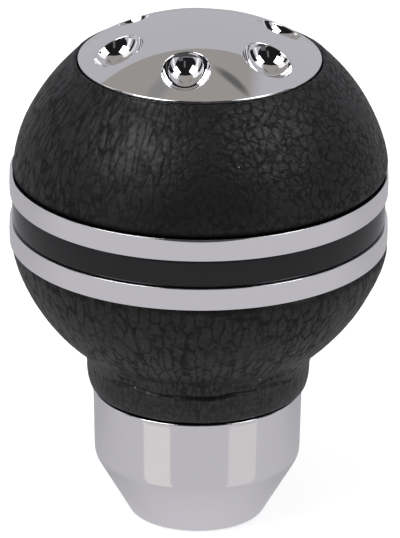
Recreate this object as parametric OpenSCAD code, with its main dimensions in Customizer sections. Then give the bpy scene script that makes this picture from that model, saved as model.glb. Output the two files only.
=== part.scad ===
// Gear shift knob: a leather covered ball with a chrome dome cap, a gloss black
// band between two chrome rings, and a metal collar that screws up onto the
// lever insert and hides its grub screws. Foot of the collar on z = 0, axis +Z.

/* [Collar] */
// Height of the collar from its foot to its top face
collar_h = 19.15; // [17:0.05:20.5]
// Wall of the collar at its top edge, outside the thread
collar_wall = 3.15; // [2.8:0.05:3.5]
// How much less the collar's radius is at the crease than at the top edge
collar_taper = 0.25; // [0.1:0.05:0.5]
// Height of the conical lower part
cone_h = 8.9; // [8:0.1:10]
// Radial room round the gear lever in the throat at the foot
throat_gap = 1.9; // [1.5:0.1:2.5]
// Width of the foot's ring outside the throat
toe_w = 2; // [1.8:0.1:2.6]
// Radius of the rounded foot edge
foot_round = 0.7; // [0.3:0.1:0.9]
// Thickness of the collar's bottom end, below its threaded bore
collar_floor = 7.7; // [6.5:0.1:8.5]
// Radius of the soft crease between cone and barrel
crease_round = 3; // [1:0.5:4]

/* [Lever insert] */
// Major diameter of the screw thread between insert and collar
thread_d = 24; // [23:0.5:24.5]
// Depth of that thread
thread_depth = 0.9; // [0.5:0.1:1.1]
// Length of the plain pilot land above the thread
land_h = 2.1; // [1:0.1:3]
// Width of the insert's flange outside the thread
flange_w = 1.4; // [1:0.1:1.5]
// Thickness of the insert's flange
flange_t = 1.8; // [1.5:0.1:2.5]
// Wall of the insert's body inside the core
insert_wall = 2.45; // [2:0.05:2.9]
// Thickness of the web at the blind end of the insert
web_t = 2.5; // [2:0.1:4]
// Number of keys that stop the insert turning in the core
key_count = 3; // [2:1:4]
// Width of a key
key_w = 3; // [2:0.5:4]
// Height of a key above the insert's body
key_rise = 1.1; // [0.5:0.1:1.3]
// Length of a key
key_len = 14; // [8:1:16]

/* [Adapter sleeve] */
// Diameter of the gear lever that the sleeve takes
lever_d = 12; // [10:0.5:13]
// Radial clearance of the gear lever in the sleeve
lever_gap = 0.1; // [0.05:0.05:0.2]
// Wall of the sleeve between lever and insert
sleeve_wall = 1.9; // [1.5:0.1:2.1]
// Length of the sleeve above its flange
sleeve_len = 28.5; // [22:0.5:32]
// Thickness of the sleeve's end flange
sleeve_flange_t = 0.8; // [0.6:0.1:1]
// Width of the sleeve's flange around the sleeve
sleeve_flange_w = 1.5; // [1:0.1:2]
// Width of the slit along the sleeve
slit_w = 1.5; // [0.8:0.1:2]

/* [Leather covers] */
// Thickness of the leather
leather_t = 1.1; // [0.8:0.1:1.3]
// How much the upper cover's ball is larger in radius than the rings
upper_ball_over = 0.4; // [0.1:0.1:0.6]
// How much the lower cover's ball is larger in radius than the rings
lower_ball_over = 1.1; // [0.7:0.1:1.3]
// How far the upper ball's centre lies below the upper cover's lower edge
upper_ball_drop = 4.15; // [3.6:0.05:4.6]
// How far the lower ball's centre lies above the lower cover's upper edge
lower_ball_lift = 6.3; // [5.5:0.1:6.8]
// Radius of the hollow curve at the neck
neck_round = 5.6; // [5:0.2:9]
// Height of the neck's narrowest place above the insert's flange and hem
neck_h = 0.1; // [0.05:0.05:0.6]
// Width of the hem outside the insert's flange, at the neck
hem_w = 2.65; // [2.2:0.05:3]
// Radius of the gentle inward sweep of the hem below the neck
hem_sweep = 7.6; // [6:0.2:9]
// Radius of the rolled lower edge of the hem
hem_roll = 0.7; // [0.4:0.1:1]
// Radius of the outer bend where the leather is turned in at the cap
edge_round = 0.4; // [0.3:0.05:1]
// Radius of the softer bends where the leather is turned in at the rings
ring_bend = 0.9; // [0.5:0.1:1.2]

/* [Rings and band] */
// Outer diameter of the two chrome rings
ring_d = 54.6; // [54:0.1:55.6]
// Height of a ring
ring_h = 3.3; // [2.5:0.1:3.5]
// Radius of the rounded outer edges of a ring
ring_round = 0.6; // [0.4:0.1:1.2]
// Radial width of the rings
ring_w = 3; // [2.8:0.1:3.6]
// How far the gloss band lies behind the rings
band_step = 0.4; // [0.2:0.1:0.8]
// Height of the gloss band
band_h = 4.2; // [4:0.05:6]

/* [Dome cap] */
// Outer diameter of the cap's rim
cap_d = 35; // [34:0.5:36]
// Rise of the dome above its rim
cap_rise = 5.6; // [4.8:0.1:6]
// Height of the rim that shows above the leather
rim_h = 0.4; // [0.2:0.1:1]
// Radius of the rounded rim edge
rim_round = 0.25; // [0.15:0.05:0.5]
// Thickness of the cap's moulded wall
cap_wall = 1.8; // [1.4:0.1:2]
// Length of the cap's skirt inside the core
skirt_h = 4; // [3.4:0.1:4.4]
// Number of bowls in the dome
bowl_count = 6; // [3:3:6]
// Diameter of a bowl at its edge
bowl_d = 7.2; // [6.5:0.1:7.6]
// Depth of a bowl at its middle
bowl_depth = 2.5; // [1.8:0.1:2.8]
// Distance of the bowls' middles from the cap's rim
bowl_inset = 5; // [4.7:0.1:5.5]
// Turn of the first bowl from the front, seen from above
bowl_turn = -9; // [-30:1:30]

/* [Cores] */
// Wall of the moulded cores at their thinnest
core_wall = 2.5; // [2:0.1:2.7]
// Thickness of the upper core's top plate
plate_t = 3; // [2.5:0.1:3.5]
// Wall of the sockets that stand on the lower core and hang from the upper core
spigot_wall = 2; // [1.6:0.1:2.2]
// Room above the lower core's spigot, below the upper core
spigot_room = 0.6; // [0.2:0.1:1]
// Length of the upper core's skirt inside that spigot
tail_h = 6.6; // [4:0.1:7]
// Wall of the lower core's tube round the insert
tube_wall = 2.25; // [2:0.05:2.6]
// Thickness of the stiffening ribs
rib_t = 1.6; // [1.2:0.1:2.4]
// Number of stiffening ribs in each core
rib_count = 6; // [3:3:6]
// Wall of the upper core's central post round the nut's corners
post_wall = 1.9; // [1.6:0.1:2.4]

/* [Fasteners] */
// Thread diameter of the tie screw through the middle
tie_d = 5; // [4:0.5:5]
// How far the tie screw reaches past its nut
tie_over = 2.2; // [1:0.1:3]
// Diameter of the tie screw's head
tie_head_d = 8.5; // [8:0.1:9]
// Diameter of the washer under that head
washer_d = 11; // [10:0.5:13]
// Width across the flats of the brass nut
nut_af = 8; // [7.5:0.1:8.4]
// Height of the brass nut
nut_h = 4; // [3:0.1:4.5]
// Core diameter of a cap screw
cap_screw_d = 2.3; // [2:0.1:2.6]
// Length of a cap screw under its head
cap_screw_len = 7.5; // [6:0.5:8]
// Diameter of a cap screw's head
cap_head_d = 5.4; // [5:0.1:5.8]
// Gap between a cap screw's head and the central post
cap_head_gap = 1.2; // [0.8:0.1:1.6]
// Thread diameter of a grub screw
grub_d = 4; // [3:0.5:4.5]
// Height of the grub screws above the insert's lower end
grub_rise = 3.6; // [2.8:0.1:4]

/* [Clearances] */
// Radial clearance where one piece slips into another
slip = 0.05; // [0.03:0.01:0.1]
// Gap between the collar's top face and the insert's flange
seat_gap = 0.1; // [0.05:0.05:0.2]
// Radial clearance of a screw in its through hole
screw_gap = 0.3; // [0.2:0.05:0.4]

/* [Hidden] */
$fn = 96;
cut = 0.5;
cap_screw_count = 3;
grub_count = 3;
lever_bore_r = lever_d / 2 + lever_gap;
throat_r = lever_bore_r + throat_gap;
sleeve_r = lever_bore_r + sleeve_wall;
socket_r = sleeve_r + slip;
thread_r = thread_d / 2;
root_r = thread_r - thread_depth;
insert_r = socket_r + insert_wall;
insert_seat_r = insert_r + slip;
tube_r = insert_seat_r + tube_wall;
flange_r = thread_r + flange_w;
hem_lip_r = flange_r + seat_gap;
hem_r = hem_lip_r + hem_w;
ring_r = ring_d / 2;
ring_bore_r = ring_r - ring_w;
band_r = ring_r - band_step;
cap_r = cap_d / 2;

// Heights, from the foot up
sleeve_end_gap = 0.4;
sleeve_flange_z = collar_floor + sleeve_end_gap;
insert_z = sleeve_flange_z + sleeve_flange_t;
flange_z = collar_h + seat_gap;
flange_top_z = flange_z + flange_t;
lower_core_z = flange_top_z + leather_t;
grub_z = insert_z + grub_rise;

// Neck of the lower cover, a hollow arc that meets the ball and the hem
lower_ball_r = ring_r + lower_ball_over;
neck_x = hem_r + neck_round;
neck_reach = lower_ball_r + neck_round;
neck_z = lower_core_z + neck_h;
lower_ball_z = neck_z + sqrt(neck_reach * neck_reach - neck_x * neck_x);
neck_a = asin((lower_ball_z - neck_z) / neck_reach);
hem_rise = 0.3;
hem_z = flange_z + hem_rise;
hem_a = -asin((neck_z - hem_z - hem_roll) / (hem_sweep - hem_roll));
hem_roll_x = hem_r - hem_sweep + (hem_sweep - hem_roll) * cos(hem_a);

// Rings, band and upper half, from the lower ball up
lower_ring_z = lower_ball_z - lower_ball_lift;
band_z = lower_ring_z + ring_h;
upper_ring_z = band_z + band_h;
upper_core_z = upper_ring_z + ring_h;
upper_ball_r = ring_r + upper_ball_over;
upper_ball_z = upper_core_z - upper_ball_drop;
upper_bend_r = upper_ball_r - edge_round;
mouth_gap = 0.25;
mouth_r = cap_r + mouth_gap;
mouth_bend_a = acos((mouth_r + edge_round) / upper_bend_r);
mouth_bend_z = upper_ball_z + upper_bend_r * sin(mouth_bend_a);
rim_z = mouth_bend_z + edge_round;

// Tie screw, washer and nut, along the axis
tie_head_h = 5;
washer_t = 1;
head_room = 0.5;
tie_head_z = insert_z + sleeve_len + head_room;
tie_z = tie_head_z + tie_head_h;
web_z = tie_z + washer_t;
insert_top_z = web_z + web_t;
tie_hole_r = tie_d / 2 + screw_gap;

// The dome's sphere, from its rim and its rise
shoulder_z = rim_z + rim_h;
dome_r = (cap_r * cap_r + cap_rise * cap_rise) / (2 * cap_rise);
dome_z = shoulder_z + cap_rise - dome_r;

// Shells under the covers and the corners that the leather is turned round
upper_shell_r = upper_ball_r - leather_t;
lower_shell_r = lower_ball_r - leather_t;
recess_r = mouth_r + leather_t;
recess_z = rim_z - skirt_h;
upper_edge_z = upper_core_z + leather_t;
upper_edge_a = asin((upper_edge_z - upper_ball_z) / upper_shell_r);
lip_a = acos(recess_r / upper_shell_r);
lower_edge_z = lower_ring_z - leather_t;
lower_edge_a = asin((lower_edge_z - lower_ball_z) / lower_shell_r);

// Bends of the leather at the rings: angles on the balls where they begin
foot_bend_r = upper_ball_r - ring_bend;
lower_bend_r = lower_ball_r - ring_bend;
foot_bend_a = asin((upper_core_z + ring_bend - upper_ball_z) / foot_bend_r);
lower_bend_a = asin((lower_ring_z - ring_bend - lower_ball_z) / lower_bend_r);
flap_w = 1.2;
flap_room = 0.3;
flap_r = ring_bore_r + flap_w;

// Cores
spigot_r = ring_bore_r - slip;
bay_r = spigot_r - spigot_wall;
tail_r = bay_r - slip;
tail_bore_r = tail_r - spigot_wall;
spigot_top_z = upper_core_z - spigot_room;
plate_z = recess_z - plate_t;
inner_ball_r = lower_shell_r - core_wall;
bay_z = lower_ball_z - sqrt(inner_ball_r * inner_ball_r - bay_r * bay_r);
well_z = lower_ball_z - sqrt(inner_ball_r * inner_ball_r - tube_r * tube_r);
tube_drop = 1.5;
tube_top_z = insert_top_z - tube_drop;
post_gap = 1;
post_z = insert_top_z + post_gap;
post_r = nut_af / 2 / cos(30) + post_wall;
nut_z = recess_z - nut_h - slip;

// Cap screws
boss_r = 2.6;
cap_head_h = 2.2;
pilot_r = cap_screw_d / 2 + slip;
cap_screw_turn = bowl_turn + 180 / bowl_count;
cap_screw_circle_r = post_r + cap_head_d / 2 + cap_head_gap;
bowl_circle_r = cap_r - bowl_inset;
cap_hole_r = cap_screw_d / 2 + screw_gap;

// Points along an arc in the section plane, x from the axis and y up
function arc(x, y, r, from, to, steps = 12) =
    [for (i = [0:steps]) let (a = from + (to - from) * i / steps) [x + r * cos(a), y + r * sin(a)]];

// Copies round the axis, the first one turned from the front
module round_axis(count, turn = 0) {
    for (i = [0:count - 1]) rotate([0, 0, turn - 90 + i * 360 / count]) children();
}

// Hexagonal prism from its width across the flats
module hex_prism(af, h) {
    cylinder(r = af / 2 / cos(30), h = h, $fn = 6);
}

// Chrome collar: barrel, soft crease, cone and rounded foot over a stepped bore
module collar() {
    top_r = thread_r + collar_wall;
    waist_r = top_r - collar_taper;
    toe_r = throat_r + toe_w;
    cone_a = atan2(waist_r - toe_r, cone_h - foot_round);
    top_round = 0.3;
    color("silver") difference() {
        rotate_extrude() polygon(concat(
            [[throat_r - cut, 0]],
            arc(toe_r - foot_round, foot_round, foot_round, -90, -cone_a, 5),
            crease(toe_r, waist_r, top_r),
            arc(top_r - top_round, collar_h - top_round, top_round, 0, 90, 4),
            [[throat_r - cut, collar_h]]));
        translate([0, 0, -cut]) cylinder(r = throat_r, h = collar_floor + 2 * cut);
        translate([0, 0, collar_floor]) cylinder(r = thread_r, h = collar_h);
        translate([0, 0, collar_h - thread_depth])
            cylinder(r1 = thread_r, r2 = thread_r + 2 * cut, h = thread_depth + cut);
        translate([0, 0, -cut]) cylinder(r1 = throat_r + cut, r2 = throat_r, h = 2 * cut);
    }
}

// Crease of the collar as a short run of points that rounds cone into barrel
function crease(toe_r, waist_r, top_r, steps = 6) =
    let (slope = (waist_r - toe_r) / (cone_h - foot_round),
         rise = (top_r - waist_r) / (collar_h - cone_h),
         p0 = [waist_r - slope * crease_round / 2, cone_h - crease_round / 2],
         p1 = [waist_r, cone_h],
         p2 = [waist_r + rise * crease_round / 2, cone_h + crease_round / 2])
    [for (i = [0:steps]) let (t = i / steps)
        (1 - t) * (1 - t) * p0 + 2 * t * (1 - t) * p1 + t * t * p2];

// Insert: threaded spigot, pilot land, flange and keyed body with a blind socket
module lever_insert() {
    color("darkgray") difference() {
        union() {
            translate([0, 0, insert_z]) cylinder(r = root_r, h = flange_z - insert_z + cut);
            translate([0, 0, flange_z - land_h]) cylinder(r = thread_r - slip, h = land_h + cut);
            translate([0, 0, flange_z]) cylinder(r = flange_r, h = flange_t);
            translate([0, 0, flange_z]) cylinder(r = insert_r, h = insert_top_z - flange_z);
            insert_keys(0);
        }
        translate([0, 0, insert_z - cut]) cylinder(r = socket_r, h = web_z - insert_z + cut);
        translate([0, 0, web_z - cut]) cylinder(r = tie_hole_r, h = web_t + 2 * cut);
        round_axis(grub_count) translate([0, 0, grub_z]) rotate([0, 90, 0]) cylinder(r = grub_d / 2, h = thread_r);
    }
}

// Keys along the insert's body, grown by a gap where they are cut from the core
module insert_keys(gap) {
    key_z = lower_core_z + 3;
    round_axis(key_count, 30)
        translate([insert_r - key_rise, -key_w / 2 - gap, key_z - gap])
            cube([2 * key_rise + gap, key_w + 2 * gap, key_len + 2 * gap]);
}

// Split plastic sleeve that fits the insert to the gear lever
module adapter_sleeve() {
    color("dimgray") difference() {
        union() {
            translate([0, 0, sleeve_flange_z]) cylinder(r = sleeve_r, h = sleeve_flange_t + sleeve_len);
            translate([0, 0, sleeve_flange_z]) cylinder(r = sleeve_r + sleeve_flange_w, h = sleeve_flange_t);
        }
        translate([0, 0, sleeve_flange_z - cut])
            cylinder(r = lever_bore_r, h = sleeve_flange_t + sleeve_len + 2 * cut);
        rotate([0, 0, -30]) translate([0, -slit_w / 2, sleeve_flange_z - cut])
            cube([2 * sleeve_r, slit_w, sleeve_flange_t + sleeve_len + 2 * cut]);
    }
}

// Grub screw with a hexagon socket, screwed flush into the spigot
module grub_screw(index) {
    tip_r = sleeve_r + 2 * slip;
    grub_len = root_r - tip_r - slip;
    rotate([0, 0, -90 + index * 360 / grub_count]) translate([tip_r, 0, grub_z]) rotate([0, 90, 0])
        color("#3c3c40") difference() {
            cylinder(r = grub_d / 2 - slip, h = grub_len);
            translate([0, 0, grub_len / 2]) hex_prism(grub_d / 2, grub_len);
        }
}

module grub_screw_1() { grub_screw(0); }
module grub_screw_2() { grub_screw(1); }
module grub_screw_3() { grub_screw(2); }

// Leather of the lower half: turned in under the lower ring, down over the ball
// and the neck, rolled at the hem and turned in over the insert's flange
module lower_leather() {
    flap_in_r = insert_r + 0.5;
    color("#26262a") rotate_extrude() polygon(concat(
        [[flap_r, lower_ring_z]],
        arc(lower_bend_r * cos(lower_bend_a), lower_ring_z - ring_bend, ring_bend, 90, lower_bend_a, 6),
        arc(0, lower_ball_z, lower_ball_r, lower_bend_a, -neck_a, 20),
        arc(neck_x, neck_z, neck_round, 180 - neck_a, 180, 6),
        arc(hem_r - hem_sweep, neck_z, hem_sweep, 0, hem_a, 4),
        arc(hem_roll_x, hem_z + hem_roll, hem_roll, hem_a, -90, 6),
        [[hem_lip_r, hem_z], [hem_lip_r, flange_top_z], [flap_in_r, flange_top_z], [flap_in_r, lower_core_z]],
        lower_shell_points(),
        [[flap_r, lower_edge_z]]));
}

// Outside of the lower core from its foot to its upper corner, under the leather
function lower_shell_points() = concat(
    [[hem_r - leather_t, lower_core_z]],
    arc(neck_x, neck_z, neck_round + leather_t, 180, 180 - neck_a, 6),
    arc(0, lower_ball_z, lower_shell_r, -neck_a, lower_edge_a, 20));

// Lower core: ball shaped cup with a tube for the insert, ribs and a ring spigot
module lower_core() {
    color("#202020") difference() {
        union() {
            rotate_extrude() polygon(concat(
                [[insert_seat_r, lower_core_z]],
                lower_shell_points(),
                [[flap_r, lower_edge_z], [flap_r, lower_ring_z], [spigot_r, lower_ring_z]],
                [[spigot_r, spigot_top_z], [bay_r, spigot_top_z]],
                arc(0, lower_ball_z, inner_ball_r, -acos(bay_r / inner_ball_r), -acos(tube_r / inner_ball_r), 8),
                [[tube_r, tube_top_z], [insert_seat_r, tube_top_z]]));
            intersection() {
                round_axis(rib_count, 30) translate([tube_r - cut, -rib_t / 2, well_z - 2])
                    cube([bay_r - tube_r + 2 * cut, rib_t, lower_ring_z - 4 - well_z]);
                translate([0, 0, lower_ball_z]) sphere(r = inner_ball_r + cut);
            }
        }
        insert_keys(slip);
    }
}

// Chrome ring with rounded outer edges, the same above and below the band
module ring(z) {
    color("gainsboro") rotate_extrude() polygon(concat(
        [[ring_bore_r, z]],
        arc(ring_r - ring_round, z + ring_round, ring_round, -90, 0, 8),
        arc(ring_r - ring_round, z + ring_h - ring_round, ring_round, 0, 90, 8),
        [[ring_bore_r, z + ring_h]]));
}

module lower_ring() { ring(lower_ring_z); }
module upper_ring() { ring(upper_ring_z); }

// Gloss black band between the rings
module centre_band() {
    edge = 0.3;
    color("#101012") rotate_extrude() polygon([
        [ring_bore_r, band_z], [band_r - edge, band_z], [band_r, band_z + edge],
        [band_r, upper_ring_z - edge], [band_r - edge, upper_ring_z], [ring_bore_r, upper_ring_z]]);
}

// Leather of the upper half: turned in on the upper ring, up over the ball and
// turned down round the lip of the recess that takes the cap
module upper_leather() {
    flap_z = recess_z + flap_room;
    color("#26262a") rotate_extrude() polygon(concat(
        [[flap_r, upper_core_z]],
        arc(foot_bend_r * cos(foot_bend_a), upper_core_z + ring_bend, ring_bend, -90, foot_bend_a, 6),
        arc(0, upper_ball_z, upper_ball_r, foot_bend_a, mouth_bend_a, 20),
        arc(mouth_r + edge_round, mouth_bend_z, edge_round, mouth_bend_a, 180, 6),
        [[mouth_r, flap_z], [recess_r, flap_z]],
        arc(0, upper_ball_z, upper_shell_r, lip_a, upper_edge_a, 20),
        [[flap_r, upper_edge_z]]));
}

// Upper core: cup with a top plate, a recess for the cap, a central post for the
// tie screw and its nut, ribs, and a tail that slips inside the lower spigot
module upper_core() {
    color("#202020") difference() {
        union() {
            rotate_extrude() polygon(concat(
                [[tail_r, upper_core_z], [flap_r, upper_core_z], [flap_r, upper_edge_z]],
                arc(0, upper_ball_z, upper_shell_r, upper_edge_a, lip_a, 20),
                [[recess_r, recess_z], [0, recess_z], [0, plate_z], [tail_bore_r, plate_z]],
                [[tail_bore_r, upper_core_z - tail_h], [tail_r, upper_core_z - tail_h]]));
            translate([0, 0, post_z]) cylinder(r = post_r, h = plate_z - post_z + cut);
            round_axis(rib_count, cap_screw_turn + 180 / rib_count)
                translate([post_r - cut, -rib_t / 2, upper_core_z])
                    cube([tail_bore_r - post_r + 2 * cut, rib_t, plate_z - upper_core_z + cut]);
        }
        translate([0, 0, post_z - cut]) cylinder(r = tie_hole_r, h = recess_z - post_z + 2 * cut);
        translate([0, 0, nut_z]) hex_prism(nut_af + 2 * slip, nut_h + cut);
        round_axis(cap_screw_count, cap_screw_turn)
            translate([cap_screw_circle_r, 0, plate_z - cut]) cylinder(r = cap_hole_r, h = plate_t + 2 * cut);
    }
}

// Tie screw with a hexagon socket head, put in from below through the insert
module tie_screw() {
    color("#8c8c90") difference() {
        union() {
            translate([0, 0, tie_head_z]) cylinder(d = tie_head_d, h = tie_head_h);
            translate([0, 0, tie_z - cut]) cylinder(d = tie_d, h = nut_z + nut_h + tie_over - tie_z + cut);
        }
        translate([0, 0, tie_head_z - cut]) hex_prism(tie_d * 0.8, tie_d / 2 + cut);
    }
}

module tie_washer() {
    color("silver") translate([0, 0, tie_z]) difference() {
        cylinder(d = washer_d, h = washer_t);
        translate([0, 0, -cut]) cylinder(r = tie_hole_r, h = washer_t + 2 * cut);
    }
}

module tie_nut() {
    color("#b8923c") translate([0, 0, nut_z + slip]) difference() {
        hex_prism(nut_af, nut_h);
        translate([0, 0, -cut]) cylinder(r = tie_d / 2 + slip, h = nut_h + 2 * cut);
    }
}

// Chrome dome cap: one moulded shell with six bowls, a skirt and screw bosses
module dome_cap() {
    color("gainsboro") difference() {
        union() {
            difference() {
                cap_shape();
                cap_hollow(cap_wall);
            }
            intersection() {
                union() {
                    bowls(cap_wall);
                    round_axis(cap_screw_count, cap_screw_turn)
                        translate([cap_screw_circle_r, 0, recess_z]) cylinder(r = boss_r, h = cap_rise + skirt_h);
                }
                cap_hollow(cap_wall / 2);
            }
        }
        bowls(0);
        round_axis(cap_screw_count, cap_screw_turn)
            translate([cap_screw_circle_r, 0, recess_z - cut])
                cylinder(r = pilot_r, h = cap_screw_len - plate_t + 2 * cut);
    }
}

// The cap turned as a full body, with a small round between its rim and dome
module cap_shape() {
    bend_r = dome_r - rim_round;
    bend_a = acos((cap_r - rim_round) / bend_r);
    rotate_extrude() polygon(concat(
        [[0, recess_z], [cap_r, recess_z]],
        arc(cap_r - rim_round, dome_z + bend_r * sin(bend_a), rim_round, 0, bend_a, 5),
        arc(0, dome_z, dome_r, bend_a, 90, 16)));
}

// Space inside the cap, drawn in by a wall from its rim and dome
module cap_hollow(inset) {
    low_z = inset < cap_wall ? recess_z : recess_z - cut;
    intersection() {
        translate([0, 0, low_z]) cylinder(r = cap_r - inset, h = shoulder_z + cap_rise - low_z);
        translate([0, 0, dome_z]) sphere(r = dome_r - inset);
    }
}

// Hollows of the bowls, square to the dome, grown by a wall for their shells
module bowls(grow) {
    tilt = asin(bowl_circle_r / dome_r);
    bowl_r = (bowl_d * bowl_d / 4 + bowl_depth * bowl_depth) / (2 * bowl_depth);
    centre_r = dome_r * cos(asin(bowl_d / 2 / dome_r)) + bowl_r - bowl_depth;
    round_axis(bowl_count, bowl_turn) translate([0, 0, dome_z]) rotate([0, tilt, 0])
        translate([0, 0, centre_r]) sphere(r = bowl_r + grow);
}

// Self-tapping screw that holds the cap from inside the upper core
module cap_screw(index) {
    rotate([0, 0, cap_screw_turn - 90 + index * 360 / cap_screw_count]) translate([cap_screw_circle_r, 0, plate_z])
        color("#8c8c90") difference() {
            union() {
                translate([0, 0, -cap_head_h]) cylinder(d = cap_head_d, h = cap_head_h);
                translate([0, 0, -cut]) cylinder(d = cap_screw_d, h = cap_screw_len + cut);
            }
            translate([0, 0, -cap_head_h - cut]) cross_slot();
        }
}

module cap_screw_1() { cap_screw(0); }
module cap_screw_2() { cap_screw(1); }
module cap_screw_3() { cap_screw(2); }

// Cross recess in a screw head
module cross_slot() {
    slot_l = cap_head_d * 0.6;
    slot_w = 0.8;
    for (turn = [0, 90]) rotate([0, 0, turn]) translate([-slot_l / 2, -slot_w / 2, 0])
        cube([slot_l, slot_w, cap_head_h / 2 + cut]);
}

dome_cap();
cap_screw_1();
cap_screw_2();
cap_screw_3();
upper_core();
upper_leather();
upper_ring();
centre_band();
lower_ring();
lower_core();
lower_leather();
lever_insert();
adapter_sleeve();
grub_screw_1();
grub_screw_2();
grub_screw_3();
tie_screw();
tie_washer();
tie_nut();
collar();
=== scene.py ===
"""Looks of the gear shift knob: leather, chrome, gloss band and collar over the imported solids."""

import math

import bpy
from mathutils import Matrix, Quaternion, Vector, noise

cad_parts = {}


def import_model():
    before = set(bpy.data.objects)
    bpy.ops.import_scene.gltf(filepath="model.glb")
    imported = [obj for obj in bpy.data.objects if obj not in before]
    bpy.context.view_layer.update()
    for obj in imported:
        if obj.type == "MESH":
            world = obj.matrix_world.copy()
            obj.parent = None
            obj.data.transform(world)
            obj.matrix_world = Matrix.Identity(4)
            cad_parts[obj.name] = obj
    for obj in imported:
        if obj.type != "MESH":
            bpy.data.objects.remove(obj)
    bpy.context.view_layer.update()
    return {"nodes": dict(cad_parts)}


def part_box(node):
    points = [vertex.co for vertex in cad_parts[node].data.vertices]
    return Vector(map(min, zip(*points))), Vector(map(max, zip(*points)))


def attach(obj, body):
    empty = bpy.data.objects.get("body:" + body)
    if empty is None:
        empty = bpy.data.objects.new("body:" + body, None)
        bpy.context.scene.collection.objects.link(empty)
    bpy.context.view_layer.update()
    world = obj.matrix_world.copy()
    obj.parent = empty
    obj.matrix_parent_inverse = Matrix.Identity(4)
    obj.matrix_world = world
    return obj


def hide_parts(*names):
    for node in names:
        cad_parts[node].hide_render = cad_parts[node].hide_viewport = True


MM = 0.001
NOISE_SEED = 7
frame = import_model()
bpy.ops.object.select_all(action="DESELECT")
noise.seed_set(NOISE_SEED)  # without it, noise_vector takes its offset from the clock


def heights(node):
    """Lowest and highest height of a node, in millimetres."""
    low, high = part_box(node)
    return low[2] / MM, high[2] / MM


# Sizes in millimetres that the solids have too
RING_R = 27.3
BAND_R = 26.9
RING_BORE_R = 24.3
CAP_R = 17.5
CAP_RISE = 5.6
CAP_WALL = 1.8
BOWL_COUNT = 6
BOWL_R = 3.6
BOWL_DEPTH = 2.5
BOWL_CIRCLE_R = 12.5
BOWL_TURN = -9.0
LEATHER_T = 1.1
FLANGE_R = 13.4
FLANGE_T = 1.8
SEAT_GAP = 0.1
HEM_R = 16.15
NECK_ROUND = 5.6
THREAD_R = 12.0
THREAD_DEPTH = 0.9
THREAD_PITCH = 1.5
THROAT_R = 8.0
GRUB_R = 2.0
GRUB_RISE = 3.6
GRUB_COUNT = 3

# Looks of the covers and of the gaps between pieces, in millimetres
SEAM = 0.02  # from a ring to what lies on it
FLAP_W = 1.2  # leather turned in under a ring
LEAN = 0.22  # the covers were glued on a little to the right of the rings
COVER_STEPS = 540

_, collar_top = heights("collar")
low_ring_z, low_ring_top = heights("lower_ring")
up_ring_z, up_ring_top = heights("upper_ring")
skirt_z, dome_top = heights("dome_cap")
insert_z, _ = heights("lever_insert")


# Modelling helpers

def arc(x, z, r, start, end, steps):
    """Points of an arc in the section plane, angles in degrees from the outward direction."""
    turn = math.radians(end - start)
    a = math.radians(start)
    return [(x + r * math.cos(a + turn * i / steps), z + r * math.sin(a + turn * i / steps))
            for i in range(steps + 1)]


def line(a, b, steps):
    """Points from a to b, without a itself."""
    return [(a[0] + (b[0] - a[0]) * i / steps, a[1] + (b[1] - a[1]) * i / steps)
            for i in range(1, steps + 1)]


def soft_corner(a, corner, b, steps):
    """Points from a to b along a curve that a corner draws towards itself, without a itself."""
    shares = [i / steps for i in range(1, steps + 1)]
    return [tuple((1 - t) ** 2 * p + 2 * t * (1 - t) * q + t * t * r for p, q, r in zip(a, corner, b))
            for t in shares]


def pick(piece):
    """Makes a piece the active one and the only one selected."""
    bpy.ops.object.select_all(action="DESELECT")
    bpy.context.view_layer.objects.active = piece
    piece.select_set(True)


def add(name, primitive, **facts):
    """A new primitive under its name, with nothing else selected."""
    bpy.ops.object.select_all(action="DESELECT")
    primitive(**facts)
    piece = bpy.context.object
    piece.name = name
    return piece


def edit(piece):
    pick(piece)
    bpy.ops.object.mode_set(mode="EDIT")
    bpy.ops.mesh.select_all(action="SELECT")


def leave_edit():
    bpy.ops.object.mode_set(mode="OBJECT")


def chain(name, outline):
    """A run of edges in the section plane, drawn out point by point from one vertex."""
    piece = add(name, bpy.ops.mesh.primitive_plane_add, size=MM)
    piece.data.name = name
    edit(piece)
    bpy.ops.mesh.merge(type="CENTER")
    x, z = outline[0]
    bpy.ops.transform.translate(value=(x * MM, 0, z * MM))
    for nx, nz in outline[1:]:
        step = ((nx - x) * MM, 0, (nz - z) * MM)
        bpy.ops.mesh.extrude_region_move(TRANSFORM_OT_translate={"value": step})
        x, z = nx, nz
    bpy.ops.mesh.select_all(action="SELECT")
    return piece


def lathe(name, outline, steps=192, close=True, angle=40):
    """An outline of (radius, height) in millimetres, spun round the axis."""
    if close:
        outline = outline + [outline[0]]
    piece = chain(name, outline)
    bpy.ops.mesh.remove_doubles(threshold=MM / 1000)
    bpy.ops.mesh.spin(steps=steps, angle=2 * math.pi, center=(0, 0, 0), axis=(0, 0, 1))
    bpy.ops.mesh.select_all(action="SELECT")
    bpy.ops.mesh.remove_doubles(threshold=MM / 1000)
    bpy.ops.mesh.normals_make_consistent(inside=False)
    leave_edit()
    smooth(piece, angle)
    return piece


def smooth(piece, angle=40):
    pick(piece)
    bpy.ops.object.shade_smooth_by_angle(angle=math.radians(angle))


def apply_modifier(piece, modifier):
    pick(piece)
    bpy.ops.object.modifier_apply(modifier=modifier.name)


def bake_place(piece):
    pick(piece)
    bpy.ops.object.transform_apply(location=True, rotation=True, scale=True)


def cut_away(piece, cutter):
    modifier = piece.modifiers.new("cut", "BOOLEAN")
    modifier.operation = "DIFFERENCE"
    modifier.solver = "EXACT"
    modifier.object = cutter
    apply_modifier(piece, modifier)
    bpy.data.objects.remove(cutter, do_unlink=True)


def dress(piece, material, body, slot, *nodes):
    piece.data.materials.clear()
    piece.data.materials.append(material)
    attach(piece, body)
    if nodes:
        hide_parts(*nodes)


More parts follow.
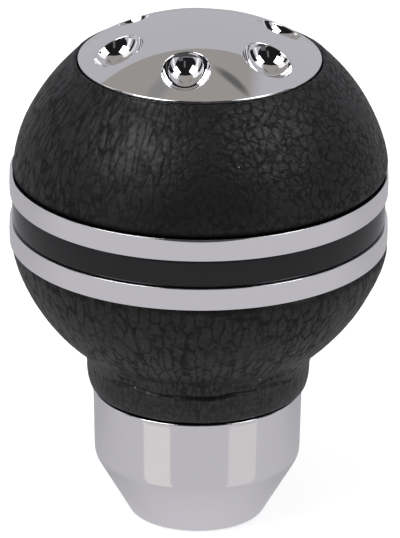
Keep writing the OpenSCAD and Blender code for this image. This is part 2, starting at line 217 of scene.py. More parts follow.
def smooth_step(value, low, high):
    t = min(1.0, max(0.0, (value - low) / (high - low)))
    return t * t * (3 - 2 * t)


# Materials

class Nodes:
    """A node tree, with short ways to add nodes and to join them."""

    def __init__(self, tree):
        self.tree = tree

    def found(self, kind):
        """The node of a kind that the tree has already."""
        return next(n for n in self.tree.nodes if n.type == kind)

    def set(self, node, values):
        for key, value in values.items():
            if isinstance(value, bpy.types.NodeSocket):
                self.tree.links.new(value, node.inputs[key])
            else:
                node.inputs[key].default_value = value

    def node(self, kind, values=None, **settings):
        node = self.tree.nodes.new(kind)
        for key, value in settings.items():
            setattr(node, key, value)
        self.set(node, values or {})
        return node

    def coords(self):
        """Object coordinates, in metres."""
        return self.node("ShaderNodeTexCoord").outputs["Object"]

    def moved(self, vector, scale):
        return self.node("ShaderNodeMapping", {"Vector": vector, "Scale": scale}).outputs[0]

    def split(self, vector):
        return self.node("ShaderNodeSeparateXYZ", {0: vector}).outputs

    def length(self, vector):
        return self.node("ShaderNodeVectorMath", {0: vector}, operation="LENGTH").outputs["Value"]

    def math(self, operation, a, b=0.0, c=0.0):
        return self.node("ShaderNodeMath", {0: a, 1: b, 2: c}, operation=operation).outputs[0]

    def ramp(self, value, low, high, to_low=0.0, to_high=1.0, kind="SMOOTHSTEP"):
        inputs = {"Value": value, "From Min": low, "From Max": high, "To Min": to_low, "To Max": to_high}
        return self.node("ShaderNodeMapRange", inputs, interpolation_type=kind).outputs[0]

    def blend(self, factor, a, b):
        """A colour between two others."""
        inputs = {0: factor, 6: (*a, 1), 7: (*b, 1)}
        return self.node("ShaderNodeMix", inputs, data_type="RGBA").outputs[2]

    def mix(self, factor, a, b):
        """A shader between two others."""
        return self.node("ShaderNodeMixShader", {0: factor, 1: a, 2: b}).outputs[0]


class Shader(Nodes):
    """One principled material and the nodes that feed it."""

    def __init__(self, name, base, **more):
        self.material = bpy.data.materials.new(name)
        self.material.use_nodes = True
        super().__init__(self.material.node_tree)
        self.principled = self.found("BSDF_PRINCIPLED")
        self.set(self.principled, {"Base Color": (*base, 1), **more})

    def coords_mm(self, scale=(1, 1, 1)):
        """Object coordinates in millimetres, times a scale for each direction."""
        return self.moved(self.coords(), tuple(s / MM for s in scale))

    def noise(self, vector, scale, detail):
        inputs = {"Vector": vector, "Scale": scale, "Detail": detail}
        return self.node("ShaderNodeTexNoise", inputs).outputs

    def vector(self, operation, a, b):
        key = "Scale" if operation == "SCALE" else 1
        return self.node("ShaderNodeVectorMath", {0: a, key: b}, operation=operation).outputs[0]

    def bump(self, height, strength, distance):
        inputs = {"Height": height, "Strength": strength, "Distance": distance * MM}
        self.set(self.principled, {"Normal": self.node("ShaderNodeBump", inputs).outputs[0]})


def leather_material():
    """Black leather: pebbled cells, drawn out upwards on the left and below the rings, with painted shade
    in the creases and above the upper ring.
    """
    cell_r, squash, sway = 22.0, 0.34, 0.42
    # Painted shade: the creases between the cells get a darker tone than the cells, and the same dark tone
    # is painted above the upper ring.
    painted_shade_tone, cell_tone = (0.0054, 0.0054, 0.0058), (0.0076, 0.0075, 0.008)
    s = Shader("black_leather", (0.02, 0.02, 0.021), Metallic=0.0, Roughness=0.5)
    coords = s.coords_mm()
    x, _, z = s.split(coords)
    warp = s.vector("SUBTRACT", s.noise(coords, 0.5, 3.0)["Color"], (0.5, 0.5, 0.5))
    warp = s.vector("SCALE", warp, 2.2)
    bent = s.vector("ADD", coords, warp)
    flat = s.moved(coords, (1, 1, 0))
    around = s.vector("SCALE", flat, s.math("DIVIDE", cell_r, s.length(flat)))
    rise = s.node("ShaderNodeCombineXYZ", {2: s.math("MULTIPLY", z, squash)}).outputs[0]
    long = s.vector("ADD", s.vector("ADD", around, rise), s.vector("SCALE", warp, sway))

    def cells(vector, scale, width):
        """1 on a cell of the grain, 0 in the creases between the cells."""
        inputs = {"Vector": vector, "Scale": scale}
        edge = s.node("ShaderNodeTexVoronoi", inputs, feature="DISTANCE_TO_EDGE")
        return s.ramp(edge.outputs["Distance"], 0.0, width)

    drawn_left = s.ramp(x, 3.0, -9.0)
    drawn_below = s.ramp(z, 44.0, 40.0)
    drawn = s.math("MAXIMUM", drawn_left, drawn_below)
    pebbles = s.math("MULTIPLY", cells(bent, 0.7, 0.18), s.math("SUBTRACT", 1.0, drawn))
    streaks = s.math("MULTIPLY", cells(long, 0.84, 0.19), drawn)
    grain = s.math("ADD", pebbles, streaks)

    broken = s.ramp(s.noise(coords, 0.9, 3.0)[0], 0.34, 0.52, 0.45, 1.0)
    worn = s.ramp(s.noise(coords, 0.13, 2.0)[0], 0.34, 0.56, 0.5, 1.0)
    calm_hem = s.ramp(z, 22.5, 26.0, 0.35, 1.0)
    depth = s.math("MULTIPLY", s.math("MULTIPLY", worn, broken), calm_hem)
    grain = s.math("SUBTRACT", 1.0, s.math("MULTIPLY", s.math("SUBTRACT", 1.0, grain), depth))
    mottle = s.ramp(s.noise(coords, 1.6, 4.0)[0], 0.3, 0.7, 0.68, 1.24)
    s.bump(s.math("MULTIPLY_ADD", mottle, 0.4, grain), 0.4, 0.1)

    # Painted shade: just above the upper ring, where the leather turns in, the colour falls to the dark
    # tone and the sheen to nothing.
    shade = s.ramp(s.math("SUBTRACT", z, up_ring_top), 0.35, 1.15)
    shade = s.math("MULTIPLY", shade, s.math("GREATER_THAN", z, up_ring_z))
    lit = s.math("ADD", shade, s.math("LESS_THAN", z, up_ring_z))
    tone = s.blend(s.math("MULTIPLY", grain, lit), painted_shade_tone, cell_tone)
    # Painted shade in the sheen too: less in the creases and none just above the upper ring. The sheen is
    # also stronger towards the neck.
    sheen = s.math("MULTIPLY", s.math("MULTIPLY_ADD", grain, 0.22, 0.12), s.math("MULTIPLY", mottle, lit))
    sheen = s.math("MULTIPLY", sheen, s.ramp(z, 29.0, 23.0, 1.0, 1.6))
    s.set(s.principled, {"Base Color": tone,
                         "Roughness": s.math("MULTIPLY_ADD", grain, -0.12, 0.53),
                         "Specular IOR Level": sheen})
    return s.material


def chrome_material():
    """Bright plating over a moulding that isn't quite even."""
    s = Shader("chrome_plate", (0.9, 0.9, 0.92), Metallic=1.0, Roughness=0.03)
    s.bump(s.noise(s.coords_mm(), 0.12, 1.0)[0], 0.12, 0.12)
    return s.material


def collar_material():
    """Polished metal with the faint rings of turning and a few dull spots."""
    s = Shader("collar_bright_metal", (0.88, 0.88, 0.9), Metallic=1.0)
    rings = s.noise(s.coords_mm((0.02, 0.02, 9)), 1.0, 2.0)[0]
    spots = s.noise(s.coords_mm(), 0.5, 4.0)[0]
    s.set(s.principled, {"Roughness": s.ramp(spots, 0.3, 0.75, 0.05, 0.12)})
    s.bump(rings, 0.06, 0.02)
    return s.material


def plain(name, base, metallic, roughness, **more):
    return Shader(name, base, Metallic=metallic, Roughness=roughness, **more).material


leather = leather_material()
chrome = chrome_material()
collar_metal = collar_material()
gloss = plain("gloss_black_lacquer", (0.011, 0.011, 0.012), 0.0, 0.09,
              **{"Specular IOR Level": 0.24, "Coat Weight": 0.06, "Coat Roughness": 0.05})
dust = plain("lint_grey", (0.3, 0.3, 0.3), 0.0, 0.9)
turned = plain("insert_turned_metal", (0.55, 0.55, 0.57), 1.0, 0.28)
black_plastic = plain("core_black_plastic", (0.03, 0.03, 0.031), 0.0, 0.55)
grey_plastic = plain("sleeve_grey_plastic", (0.05, 0.05, 0.055), 0.0, 0.45)
blacked = plain("grub_black_steel", (0.06, 0.06, 0.065), 1.0, 0.35)
zinc = plain("screw_zinc_steel", (0.5, 0.5, 0.52), 1.0, 0.3)
brass = plain("nut_turned_brass", (0.72, 0.55, 0.25), 1.0, 0.25)

# Solids that stay as they are, with a finish of their own
KEPT = {
    black_plastic: ("upper_core", "lower_core"),
    grey_plastic: ("adapter_sleeve",),
    turned: ("lever_insert",),
    blacked: ("grub_screw_1", "grub_screw_2", "grub_screw_3"),
    zinc: ("cap_screw_1", "cap_screw_2", "cap_screw_3", "tie_screw", "tie_washer"),
    brass: ("tie_nut",),
}
for material, kept_nodes in KEPT.items():
    for node in kept_nodes:
        for place in frame["nodes"][node].material_slots:
            place.material = material


# Leather covers

def grain_at(p, tall):
    """Height of the leather's grain at a point in millimetres, in millimetres."""
    crease, swelling, crease_w = 0.06, 0.09, 0.3
    wander = noise.noise_vector(p * 0.3) * 1.3
    q = p + wander
    cell = noise.voronoi(Vector((q.x * 0.72, q.y * 0.72, q.z * 0.72)))[0]
    long = noise.voronoi(Vector((q.x * 0.85, q.y * 0.85, q.z * 0.27)))[0]
    pebble = min(1.0, (cell[1] - cell[0]) / crease_w)
    streak = min(1.0, (long[1] - long[0]) / crease_w)
    raised = pebble * (1 - tall) + streak * tall
    raised = raised * raised * (3 - 2 * raised)
    patch = 0.55 + 0.45 * noise.noise(p * 0.11 + Vector((3, 5, 9)))
    swell = noise.noise(p * 0.16 + Vector((7, 1, 4)))
    return crease * (raised - 1) * patch + swelling * swell


def pull_grain(piece, outside, extra):
    """Moves the outer vertices of a cover along their normals by its grain and its folds."""
    mesh = piece.data
    normals = [v.normal.copy() for v in mesh.vertices]
    for v, normal in zip(mesh.vertices, normals):
        p = v.co / MM
        weight = outside(p)
        if weight <= 0:
            continue
        left = min(1.0, max(0.0, (3 - p.x) / 18))
        below = min(1.0, max(0.0, (43 - p.z) / 3))
        move = grain_at(p, max(left, below)) + extra(p)
        v.co += normal * (move * weight * MM)
    mesh.update()


def upper_cover():
    """Leather of the upper half: from the ring over the ball to the cap's mouth."""
    ball_r, ball_drop, bend, lip = 27.7, 4.15, 1.1, 0.4
    ball_z = up_ring_top - ball_drop
    mouth_r = CAP_R + 0.1
    flap_r = RING_BORE_R + FLAP_W
    flap_z = skirt_z + 0.4
    tuck_depth, tuck_h = 0.45, 1.7
    start = math.degrees(math.asin((up_ring_top + bend - ball_z) / (ball_r - bend)))
    end = math.degrees(math.acos((mouth_r + lip) / (ball_r - lip)))
    bend_x = (ball_r - bend) * math.cos(math.radians(start))
    lip_z = ball_z + (ball_r - lip) * math.sin(math.radians(end))
    shell = ball_r - LEATHER_T
    inner_end = math.degrees(math.acos((mouth_r + LEATHER_T) / shell))
    inner_start = math.degrees(math.asin((up_ring_top + LEATHER_T - ball_z) / shell))
    outline = [(flap_r, up_ring_top + SEAM)]
    outline += arc(bend_x, up_ring_top + bend, bend, -90, start, 7)
    outline += arc(0, ball_z, ball_r, start, end, 104)[1:]
    outline += arc(mouth_r + lip, lip_z, lip, end, 180, 6)[1:]
    outline += [(mouth_r, flap_z), (mouth_r + LEATHER_T, flap_z)]
    outline += arc(0, ball_z, shell, inner_end, inner_start, 12)
    outline += [(flap_r, up_ring_top + LEATHER_T)]
    piece = lathe("upper_leather_cover", outline, steps=COVER_STEPS, angle=60)

    def outside(p):
        """1 on the cover's outer face, less towards its edges, 0 inside."""
        r = math.hypot(p.x, p.y)
        if math.hypot(r, p.z - ball_z) < ball_r - 0.35 or r < mouth_r + 0.2:
            return 0.0
        from_ring = smooth_step(p.z, up_ring_top + 0.2, up_ring_top + 1.2)
        return from_ring * smooth_step(lip_z + lip - p.z, 0.0, 0.5)

    def tuck(p):
        return LEAN * p.x / ball_r - tuck_depth * math.exp(-(p.z - up_ring_top) / tuck_h)

    pull_grain(piece, outside, tuck)
    dress(piece, leather, "knob", "leather", "upper_leather")
    return piece


def lower_cover():
    """Leather of the lower half: from the ring over the bulb and the neck to the rolled hem."""
    ball_r, ball_lift, bend = 28.15, 6.3, 0.8
    sweep, roll, rise = 7.6, 0.7, 0.3
    flap_r, hem_flap_r = RING_BORE_R + FLAP_W, 11.0
    lip_r = FLANGE_R + SEAT_GAP
    ball_z = low_ring_z + ball_lift
    reach, neck_x = ball_r + NECK_ROUND, HEM_R + NECK_ROUND
    neck_z = ball_z - math.sqrt(reach * reach - neck_x * neck_x)
    neck_a = math.degrees(math.asin((ball_z - neck_z) / reach))
    start = math.degrees(math.asin((low_ring_z - bend - ball_z) / (ball_r - bend)))
    bend_x = (ball_r - bend) * math.cos(math.radians(start))
    hem_z = collar_top + SEAT_GAP + rise
    hem_a = -math.degrees(math.asin((neck_z - hem_z - roll) / (sweep - roll)))
    roll_x = HEM_R - sweep + (sweep - roll) * math.cos(math.radians(hem_a))
    shell = ball_r - LEATHER_T
    shell_end = math.degrees(math.asin((low_ring_z - LEATHER_T - ball_z) / shell))
    flange_top = collar_top + SEAT_GAP + FLANGE_T
    outline = [(flap_r, low_ring_z - SEAM)]
    outline += arc(bend_x, low_ring_z - bend, bend, 90, start, 6)
    outline += arc(0, ball_z, ball_r, start, -neck_a, 76)[1:]
    outline += arc(neck_x, neck_z, NECK_ROUND, 180 - neck_a, 180, 34)[1:]
    outline += arc(HEM_R - sweep, neck_z, sweep, 0, hem_a, 12)[1:]
    outline += arc(roll_x, hem_z + roll, roll, hem_a, -90, 7)[1:]
    outline += [(lip_r, hem_z), (lip_r, flange_top)]
    outline += [(hem_flap_r, flange_top), (hem_flap_r, flange_top + LEATHER_T)]
    outline += [(HEM_R - LEATHER_T, flange_top + LEATHER_T)]
    outline += arc(neck_x, neck_z, NECK_ROUND + LEATHER_T, 178, 180 - neck_a, 6)
    outline += arc(0, ball_z, shell, -neck_a, shell_end, 12)[1:]
    outline += [(flap_r, low_ring_z - LEATHER_T)]
    piece = lathe("lower_leather_cover", outline, steps=COVER_STEPS, angle=60)

    def outside(p):
        """1 on the cover's outer face, less towards the ring, 0 inside."""
        r = math.hypot(p.x, p.y)
        if p.z > neck_z + 5:
            inside = math.hypot(r, p.z - ball_z) < ball_r - 0.35
        else:
            behind_neck = math.hypot(r - neck_x, p.z - neck_z) > NECK_ROUND + 0.35
            inside = r < 14.4 or (p.z > flange_top and behind_neck)
        return 0.0 if inside else smooth_step(low_ring_z - p.z, 0.1, 0.7)

    def lean(p):
        """The bulb leans with the upper cover near the ring, and the neck a little too."""
        near_ring = smooth_step(p.z, 34.0, 41.0)
        return LEAN * (0.7 * near_ring + 0.25) * p.x / math.hypot(p.x, p.y)

    def folds(p):
        """Tuck at the ring and the small level wrinkles where the hem is drawn in."""
        tuck_depth, tuck_h = 0.25, 1.6
        crease_depth, second_depth, lip_h = 0.72, 0.55, 0.05
        tuck = lean(p) - tuck_depth * math.exp(-(low_ring_z - p.z) / tuck_h)
        around = math.atan2(p.y, p.x)
        drift = noise.noise(Vector((math.cos(around) * 3.4, math.sin(around) * 3.4, 3.0)))
        line_z = neck_z + 1.5 + 0.8 * drift
        front = smooth_step(-math.sin(around), 0.5, 0.95)
        uneven = 0.75 + 0.6 * noise.noise(Vector((math.cos(around) * 5.0, math.sin(around) * 5.0, 8.0)))
        crease = math.exp(-((p.z - line_z) / 0.24) ** 2)
        lip = math.exp(-((p.z - line_z + 0.45) / 0.3) ** 2)
        second = math.exp(-((p.z - line_z - 0.9 - 1.2 * drift) / 0.22) ** 2) * smooth_step(drift, 0.0, 0.35)
        fold = lip_h * lip - crease_depth * crease - second_depth * second
        return tuck + (0.12 + 0.88 * front) * uneven * fold

    pull_grain(piece, outside, folds)
    dress(piece, leather, "knob", "leather", "lower_leather")
    return piece


def lint(name, cover, across, height, size):
    """A speck of lint on the leather, met by a line of sight from the camera's side."""
    slant = math.radians(22.5)
    start = Vector((across, -60, height)) * MM
    _, place, normal, _ = cover.ray_cast(start, Vector((0, math.cos(slant), -math.sin(slant))))
    piece = add(name, bpy.ops.mesh.primitive_ico_sphere_add, subdivisions=2, radius=0.5 * MM)
    piece.scale = size
    piece.location = place
    piece.rotation_mode = "QUATERNION"
    piece.rotation_quaternion = normal.to_track_quat("Z", "Y")
    bake_place(piece)
    smooth(piece)
    dress(piece, dust, "knob", "leather")


# Rings, band and cap

def ring(name, z, top, node):
    """Chrome ring with a nearly flat face and rounded edges."""
    soft = 0.08
    crown = 0.05
    shoulder, shoulder_drop = 0.6, crown * 0.35
    middle = (z + top) / 2
    outline = [(RING_BORE_R, z + SEAM)]
    outline += arc(RING_R - crown - soft, z + soft + SEAM, soft, -90, -4, 8)
    outline += [(RING_R - shoulder_drop, middle - shoulder), (RING_R, middle)]
    outline += [(RING_R - shoulder_drop, middle + shoulder)]
    outline += arc(RING_R - crown - soft, top - soft - SEAM, soft, 4, 90, 8)
    outline += [(RING_BORE_R, top - SEAM)]
    dress(lathe(name, outline, steps=288, angle=50), chrome, "knob", "chrome_trim", node)


def band():
    """Lacquered band with small round shoulders that leave a dark line at each ring."""
    low, high = low_ring_top + SEAM, up_ring_z - SEAM
    soft = 0.35
    outline = [(RING_BORE_R, low)]
    outline += arc(BAND_R - soft, low + soft, soft, -90, 0, 6)
    outline += arc(BAND_R - soft, high - soft, soft, 0, 90, 6)
    outline += [(RING_BORE_R, high)]
    dress(lathe("gloss_band", outline, steps=288, angle=50), gloss, "knob", "gloss_black", "centre_band")


def bowl_cutter(index, dome_r, dome_z):
    """Body that cuts one bowl: a ball below and a flared mouth that rounds the bowl's edge."""
    lip = 0.22
    flare, over = 0.12, 3.0
    stretch = (1.07, 0.975, 1)
    ball_r = (BOWL_R * BOWL_R + BOWL_DEPTH * BOWL_DEPTH) / (2 * BOWL_DEPTH)
    mouth_z = math.sqrt(dome_r * dome_r - BOWL_R * BOWL_R)
    ball_z = mouth_z + ball_r - BOWL_DEPTH
    join = math.asin((mouth_z - lip - ball_z) / (ball_r + lip))
    lip_x = (ball_r + lip) * math.cos(join)
    outline = arc(0, ball_z, ball_r, -90, math.degrees(join), 26)
    outline[0] = (0, outline[0][1])
    outline += arc(lip_x, mouth_z - lip, lip, math.degrees(join) + 180, 98, 7)[1:]
    outline += [(lip_x + lip, mouth_z + flare), (lip_x + lip, mouth_z + over), (0, mouth_z + over)]
    cutter = lathe("bowl_cutter", outline, steps=96, close=False, angle=50)
    tilt = Quaternion((0, 1, 0), math.asin(BOWL_CIRCLE_R / dome_r))
    turn = Quaternion((0, 0, 1), math.radians(BOWL_TURN - 90 + index * 360 / BOWL_COUNT))
    cutter.scale = stretch
    cutter.rotation_mode = "QUATERNION"
    cutter.rotation_quaternion = turn @ tilt
    cutter.location = (0, 0, dome_z * MM)
    bake_place(cutter)
    return cutter


def cap():
    """Chrome cap: shallow dome, thin rim, skirt, and six mirror bowls."""
    dome_r = (CAP_R * CAP_R + CAP_RISE * CAP_RISE) / (2 * CAP_RISE)
    dome_z = dome_top - dome_r
    rim = 0.28
    bend_a = math.degrees(math.acos((CAP_R - rim) / (dome_r - rim)))
    rim_z = dome_z + (dome_r - rim) * math.sin(math.radians(bend_a))
    skirt_in, foot_z = CAP_R - CAP_WALL, skirt_z + 0.1
    inner_top = dome_top - CAP_RISE - 1.9
    outline = [(0, dome_top)]
    outline += arc(0, dome_z, dome_r, 90, bend_a, 64)[1:]
    outline += arc(CAP_R - rim, rim_z, rim, bend_a, 0, 6)[1:]
    outline += [(CAP_R, foot_z), (skirt_in, foot_z), (skirt_in, inner_top), (0, inner_top)]
    piece = lathe("dome_cap_shell", outline, steps=288, close=False, angle=40)
    for index in range(BOWL_COUNT):
        cut_away(piece, bowl_cutter(index, dome_r, dome_z))
    smooth(piece, 30)
    dress(piece, chrome, "knob", "chrome_trim", "dome_cap")


# Collar and threads

def helix(name, outline, turns, low, material, body, slot, cutters=()):
    """A thread ridge: a small section carried up along its helix, its ends closed."""
    piece = chain(name, [(x, z + low) for x, z in outline + outline[:1]])
    bpy.ops.mesh.remove_doubles(threshold=MM / 1000)
    leave_edit()
    screw = piece.modifiers.new("screw", "SCREW")
    screw.axis = "Z"
    screw.angle = 2 * math.pi
    screw.screw_offset = THREAD_PITCH * MM
    screw.iterations = turns
    screw.steps = 72
    screw.render_steps = 72
    screw.use_merge_vertices = False
    apply_modifier(piece, screw)
    edit(piece)
    bpy.ops.mesh.remove_doubles(threshold=MM / 5000)
    bpy.ops.mesh.select_all(action="DESELECT")
    bpy.ops.mesh.select_mode(type="VERT")
    bpy.ops.mesh.select_non_manifold()
    bpy.ops.mesh.edge_face_add()
    bpy.ops.mesh.select_all(action="SELECT")
    bpy.ops.mesh.normals_make_consistent(inside=False)
    leave_edit()
    for cutter in cutters:
        cut_away(piece, cutter)
    smooth(piece, 35)
    dress(piece, material, body, slot)


def thread_section(root, crest, root_half, crest_half):
    """A thread's ridge in the section plane, from its root to its crest."""
    return [(root, -root_half), (crest, -crest_half), (crest, crest_half), (root, root_half)]


def collar():
    """Bright collar: foot, cone, soft crease, barrel, and the bore with its thread relief."""
    top_r, waist_r, toe_r = 15.15, 14.9, 10.0
    cone_z, foot, crease, floor_z = 8.9, 0.7, 1.7, 7.7
    throat_edge, top_round, bore_chamfer, floor_chamfer = 0.5, 0.18, 0.75, 0.4
    relief, relief_low, relief_high = 0.15, 0.1, 1.3
    slope = (waist_r - toe_r) / (cone_z - foot)
    draft = (top_r - waist_r) / (collar_top - cone_z)
    cone_end = (waist_r - slope * crease / 2, cone_z - crease / 2)
    barrel_start = (waist_r + draft * crease / 2, cone_z + crease / 2)
    outline = [(THROAT_R, throat_edge)]
    outline += arc(THROAT_R + throat_edge, throat_edge, throat_edge, 180, 270, 5)[1:]
    outline += arc(toe_r - foot, foot, foot, -90, -math.degrees(math.atan(slope)), 9)
    outline += line(outline[-1], cone_end, 6)
    outline += soft_corner(cone_end, (waist_r, cone_z), barrel_start, 12)
    outline += line(barrel_start, (top_r, collar_top - top_round), 8)
    outline += arc(top_r - top_round, collar_top - top_round, top_round, 0, 90, 6)[1:]
    outline += [(THREAD_R + bore_chamfer, collar_top), (THREAD_R, collar_top - bore_chamfer)]
    outline += line(outline[-1], (THREAD_R, floor_z + relief_high + 0.1), 4)
    outline += [(THREAD_R + relief, floor_z + relief_high), (THREAD_R + relief, floor_z + relief_low)]
    outline += [(THREAD_R, floor_z), (THROAT_R + floor_chamfer, floor_z)]
    outline += [(THROAT_R, floor_z - floor_chamfer)]
    piece = lathe("collar_shell", outline, steps=256, angle=35)
    dress(piece, collar_metal, "collar", "collar_metal", "collar")
    ridge = thread_section(THREAD_R + 0.12, THREAD_R - 0.72, 0.62, 0.12)
    helix("collar_thread", ridge, 4, floor_z + 2.2, collar_metal, "collar", "collar_metal")


def grub_hole_cutter(index, root):
    """Body that clears the thread where a grub screw goes in."""
    turn = math.radians(index * 360 / GRUB_COUNT - 90)
    middle = Vector((math.cos(turn), math.sin(turn), 0)) * (root * MM)
    cutter = add("grub_hole_cutter", bpy.ops.mesh.primitive_cylinder_add, vertices=48,
                 radius=(GRUB_R + 0.15) * MM, depth=5 * MM, rotation=(0, math.pi / 2, turn),
                 location=middle + Vector((0, 0, (insert_z + GRUB_RISE) * MM)))
    bake_place(cutter)
    return cutter


def insert_thread():
    """Outer thread of the insert, broken where the grub screws go in."""
    root = THREAD_R - THREAD_DEPTH
    low = insert_z + 1.0 + THREAD_PITCH / 2
    ridge = thread_section(root - 0.1, root + 0.75, 0.62, 0.1)
    cutters = [grub_hole_cutter(index, root) for index in range(GRUB_COUNT)]
    helix("insert_thread", ridge, 4, low, turned, "knob", "insert_metal", cutters)


upper_leather = upper_cover()
lower_leather = lower_cover()
ring("upper_chrome_ring", up_ring_z, up_ring_top, "upper_ring")
ring("lower_chrome_ring", low_ring_z, low_ring_top, "lower_ring")
band()
cap()
collar()
insert_thread()
bpy.context.view_layer.update()
lint("lint_hem", lower_leather, -8.9, 43.7, (0.16, 1.0, 0.1))
lint("lint_neck", lower_leather, 8.9, 45.0, (0.3, 0.26, 0.12))
lint("lint_bulb", lower_leather, 14.9, 47.0, (0.2, 0.3, 0.1))
lint("lint_ball", upper_leather, 5.6, 77.6, (0.22, 0.2, 0.1))


# Floor, cards, lamps and camera, with colours as mirrors show them and places in metres

SURROUND = (0.476, 0.468, 0.502)
TABLE = (0.546, 0.532, 0.556)
CEILING = (0.33, 0.315, 0.295)
DARK_ROOM = (0.012, 0.012, 0.013)
DARK_FLOOR = (0.07, 0.07, 0.075)
MATT_LIGHT = (0.6, 0.6, 0.61)
WHITE = (1, 1, 1)


class Glow(Nodes):
    """A material that only gives light, for the cards that the knob mirrors."""

    def __init__(self, name, colour):
        self.material = bpy.data.materials.new(name)
        self.material.use_nodes = True
        super().__init__(self.material.node_tree)
        self.tree.nodes.clear()
        self.glow = self.node("ShaderNodeEmission", {"Color": (*colour, 1)})
        self.out = self.node("ShaderNodeOutputMaterial", {"Surface": self.glow.outputs[0]})


def only_mirrored(piece, material):
    piece.data.materials.append(material)
    piece.visible_camera = False
    piece.visible_diffuse = False
    piece.visible_shadow = False


def hang_card(piece, size, place, look_at, colour, turn=0.0):
    """Places a studio card that only mirrors see, and returns its glow."""
    piece.scale = (size[0], size[1], 1)
    piece.location = place
    piece.rotation_mode = "QUATERNION"
    facing = (Vector(look_at) - Vector(place)).to_track_quat("Z", "Y")
    piece.rotation_quaternion = facing @ Quaternion((0, 0, 1), math.radians(turn))
    glow = Glow(piece.name, colour)
    only_mirrored(piece, glow.material)
    return glow


def oval(name, *facts):
    circle = add(name, bpy.ops.mesh.primitive_circle_add, vertices=64, radius=0.5, fill_type="NGON")
    return hang_card(circle, *facts)


def card(name, *facts):
    return hang_card(add(name, bpy.ops.mesh.primitive_plane_add, size=1), *facts)


def floor_strip(name, start, end, colour):
    """A lighter part of the table that the collar mirrors between two distances across its barrel."""
    barrel_r, near, far, height = 15.0, 7, 50, 0.5
    piece = add(name, bpy.ops.mesh.primitive_plane_add, size=1)
    for v in piece.data.vertices:
        across = start if v.co.x < 0 else end
        reach = far if v.co.y < 0 else near
        turn = math.asin(across / barrel_r)
        x = across + reach * math.sin(2 * turn)
        y = -barrel_r * math.cos(turn) - reach * math.cos(2 * turn)
        v.co = (x * MM, y * MM, height * MM)
    only_mirrored(piece, Glow(name, colour).material)


def sky_card(name, bearing, elevation, wide, tall, reach, tone, shape=card):
    """A card over the table at a bearing from the camera's side, its spread given in degrees."""
    eye_z = 0.05
    turn, rise = math.radians(bearing), math.radians(elevation)
    level = math.cos(rise) * reach
    place = (level * math.sin(turn), -level * math.cos(turn), eye_z + math.sin(rise) * reach)
    size = (reach * math.radians(wide), reach * math.radians(tall))
    shape(name, size, place, (0, 0, eye_z), (tone, tone, tone))


def soft_beam(name, size, place, tone, turn):
    """A darker streak under the ceiling that fades at its edges."""
    colour = (tone, tone * 0.97, tone * 0.97)
    g = card(name, size, place, (place[0], place[1], 0.0), colour, turn)
    away = g.length(g.moved(g.coords(), (2, 1.9, 0)))
    clear = g.node("ShaderNodeBsdfTransparent").outputs[0]
    g.set(g.out, {"Surface": g.mix(g.ramp(away, 0.3, 1.0), g.glow.outputs[0], clear)})


def ceiling():
    """Warm grey ceiling with rounded corners, paler towards the right."""
    piece = add("ceiling_card", bpy.ops.mesh.primitive_plane_add, size=1)
    edit(piece)
    bpy.ops.transform.resize(value=(1.22, 0.56, 1))
    bpy.ops.transform.translate(value=(-0.325, 0.123, 0.6))
    bpy.ops.mesh.subdivide(number_cuts=1)
    bpy.ops.mesh.bevel(offset=0.16, segments=10, affect="VERTICES")
    leave_edit()
    g = Glow("ceiling_card", CEILING)
    paler = g.ramp(g.split(g.coords())[0], 0.19, 0.29)
    g.set(g.glow, {"Color": g.blend(paler, CEILING, SURROUND)})
    only_mirrored(piece, g.material)


def floor():
    """Pale floor. Mirrors see it as a grey table with painted light and shade: brighter at the foot, with a
    painted shadow of the knob beside and behind it.
    """
    camera_lift = 0.36
    piece = add("studio_floor", bpy.ops.mesh.primitive_plane_add, size=6)
    s = Shader("pale_floor", (0.93, 0.93, 0.93), Roughness=0.9)
    coords = s.coords()
    y, away = s.split(coords)[1], s.length(coords)
    # Painted light and shade in the table that mirrors see: a brighter pool right at the foot, and darker
    # behind the knob.
    strength = s.math("MULTIPLY", s.ramp(y, -0.02, 0.06, 1.0, 0.84, kind="LINEAR"),
                      s.ramp(away, 0.0105, 0.0165, 1.15, 0.99, kind="LINEAR"))
    # Painted shadow of the knob on the table, beside and behind its foot.
    shades = (((-0.014, -0.001), (0.018, 0.026), 0.16), ((-0.005, 0.03), (0.05, 0.09), 0.12))
    for behind, out_to, depth in shades:
        dim = s.ramp(y, *behind, 0.0, depth)
        near = s.ramp(away, *out_to, 1.0, 0.0, kind="LINEAR")
        shade = s.math("MULTIPLY", dim, near)
        strength = s.math("MULTIPLY", strength, s.math("SUBTRACT", 1.0, shade))
    rays = s.node("ShaderNodeLightPath").outputs
    s.set(s.principled, {"Specular IOR Level": 0.0, "Emission Color": (*WHITE, 1),
                         "Emission Strength": s.math("MULTIPLY", rays["Is Camera Ray"], camera_lift)})
    table = s.node("ShaderNodeEmission", {"Color": (*TABLE, 1), "Strength": strength}).outputs[0]
    surface = s.mix(rays["Is Glossy Ray"], s.principled.outputs[0], table)
    s.set(s.found("OUTPUT_MATERIAL"), {"Surface": surface})
    piece.data.materials.append(s.material)


def world():
    """White to the camera, lilac grey to mirrors, soft white to matt surfaces."""
    studio = bpy.data.worlds.new("studio")
    studio.use_nodes = True
    bpy.context.scene.world = studio
    n = Nodes(studio.node_tree)
    n.tree.nodes.clear()
    rays = n.node("ShaderNodeLightPath").outputs
    matt, mirrored, seen = [n.node("ShaderNodeBackground", {"Color": (*colour, 1)}).outputs[0]
                            for colour in (MATT_LIGHT, SURROUND, WHITE)]
    surface = n.mix(rays["Is Camera Ray"], n.mix(rays["Is Glossy Ray"], matt, mirrored), seen)
    n.node("ShaderNodeOutputWorld", {"Surface": surface})


def lamp(name, power, place):
    """A square softbox that looks at the knob's middle."""
    size, look_at = 0.46, (0, 0, 0.04)
    bpy.ops.object.light_add(type="AREA", location=place)
    light = bpy.context.object
    light.name = name
    light.data.shape = "RECTANGLE"
    light.data.size = size
    light.data.size_y = size
    light.data.energy = power
    light.rotation_mode = "QUATERNION"
    light.rotation_quaternion = (Vector(look_at) - Vector(place)).to_track_quat("-Z", "Y")


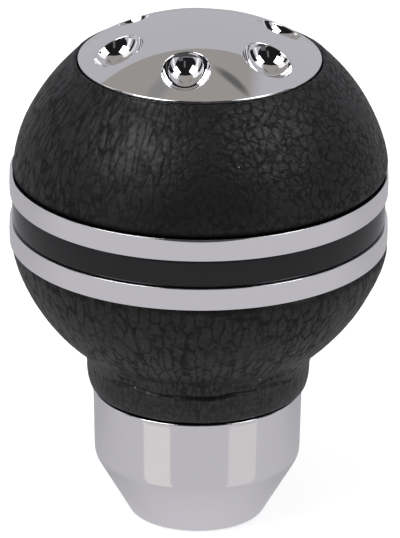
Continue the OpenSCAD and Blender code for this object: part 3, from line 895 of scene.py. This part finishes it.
def camera():
    """Camera at the photograph's angle, the knob as large and as high in the frame as there."""
    elevation, distance, roll = math.radians(22.5), 1.2, math.radians(0.4)
    frame_h, right_px, up_px = 538, 1.7, 1.4
    target = Vector((0, 0, 0.037))
    place = target + Vector((0, -math.cos(elevation), math.sin(elevation))) * distance
    bpy.ops.object.camera_add(location=place)
    eye = bpy.context.object
    eye.rotation_mode = "QUATERNION"
    eye.rotation_quaternion = (target - place).to_track_quat("-Z", "Y") @ Quaternion((0, 0, 1), roll)
    eye.data.sensor_width = 36
    eye.data.lens = 555.5
    eye.data.shift_x = right_px / frame_h
    eye.data.shift_y = up_px / frame_h
    eye.data.clip_end = 20
    bpy.context.scene.camera = eye


# Bearing and elevation, width and height in degrees, distance, tone and shape
SKY_CARDS = {
    "camera_lamp": (6, 28, 7, 26, 0.95, 0.14),
    "right_window": (24, 3, 20, 22, 1.0, 0.13),
    "right_low_panel": (59, 6, 9, 46, 0.95, 1.0),
    "left_low_panel": (-57, 8, 13, 42, 0.95, 1.0),
    "right_dark_side": (83, 20, 20, 44, 0.65, 0.012),
    "left_dark_side": (-79, 16, 10, 56, 0.65, 0.012),
    "left_side_strip": (-94, 18, 6, 50, 0.7, 0.9),
    "right_side_strip": (97, 14, 3, 40, 0.7, 0.7),
    "right_high_panel": (92, 50, 14, 30, 0.6, 1.0, oval),
    "left_high_panel": (-82, 50, 22, 26, 0.6, 1.0, oval),
}

floor()
world()
lamp("right_softbox", 2.5, (0.569, -0.27, 0.67))
lamp("left_softbox", 3.4, (-0.496, -0.388, 0.67))
ceiling()
soft_beam("ceiling_beam", (0.075, 0.29), (0.138, 0.132, 0.596), 0.13, -44)
soft_beam("ceiling_smudge", (0.13, 0.3), (-0.165, 0.09, 0.595), 0.26, 38)
oval("dark_room", (4.6, 4.2), (0, -1.7, 1.25), (0, 0, 0), DARK_ROOM)
for name, facts in SKY_CARDS.items():
    sky_card(name, *facts)
card("dark_floor", (1.1, 1.06), (0, -0.78, 0.001), (0, -0.78, 1.0), DARK_FLOOR)
floor_strip("left_floor_strip", -7.75, -3.9, (0.71, 0.673, 0.664))
floor_strip("right_floor_strip", 4.6, 8.6, (0.651, 0.622, 0.627))
camera()

scene = bpy.context.scene
scene.view_settings.view_transform = "Standard"
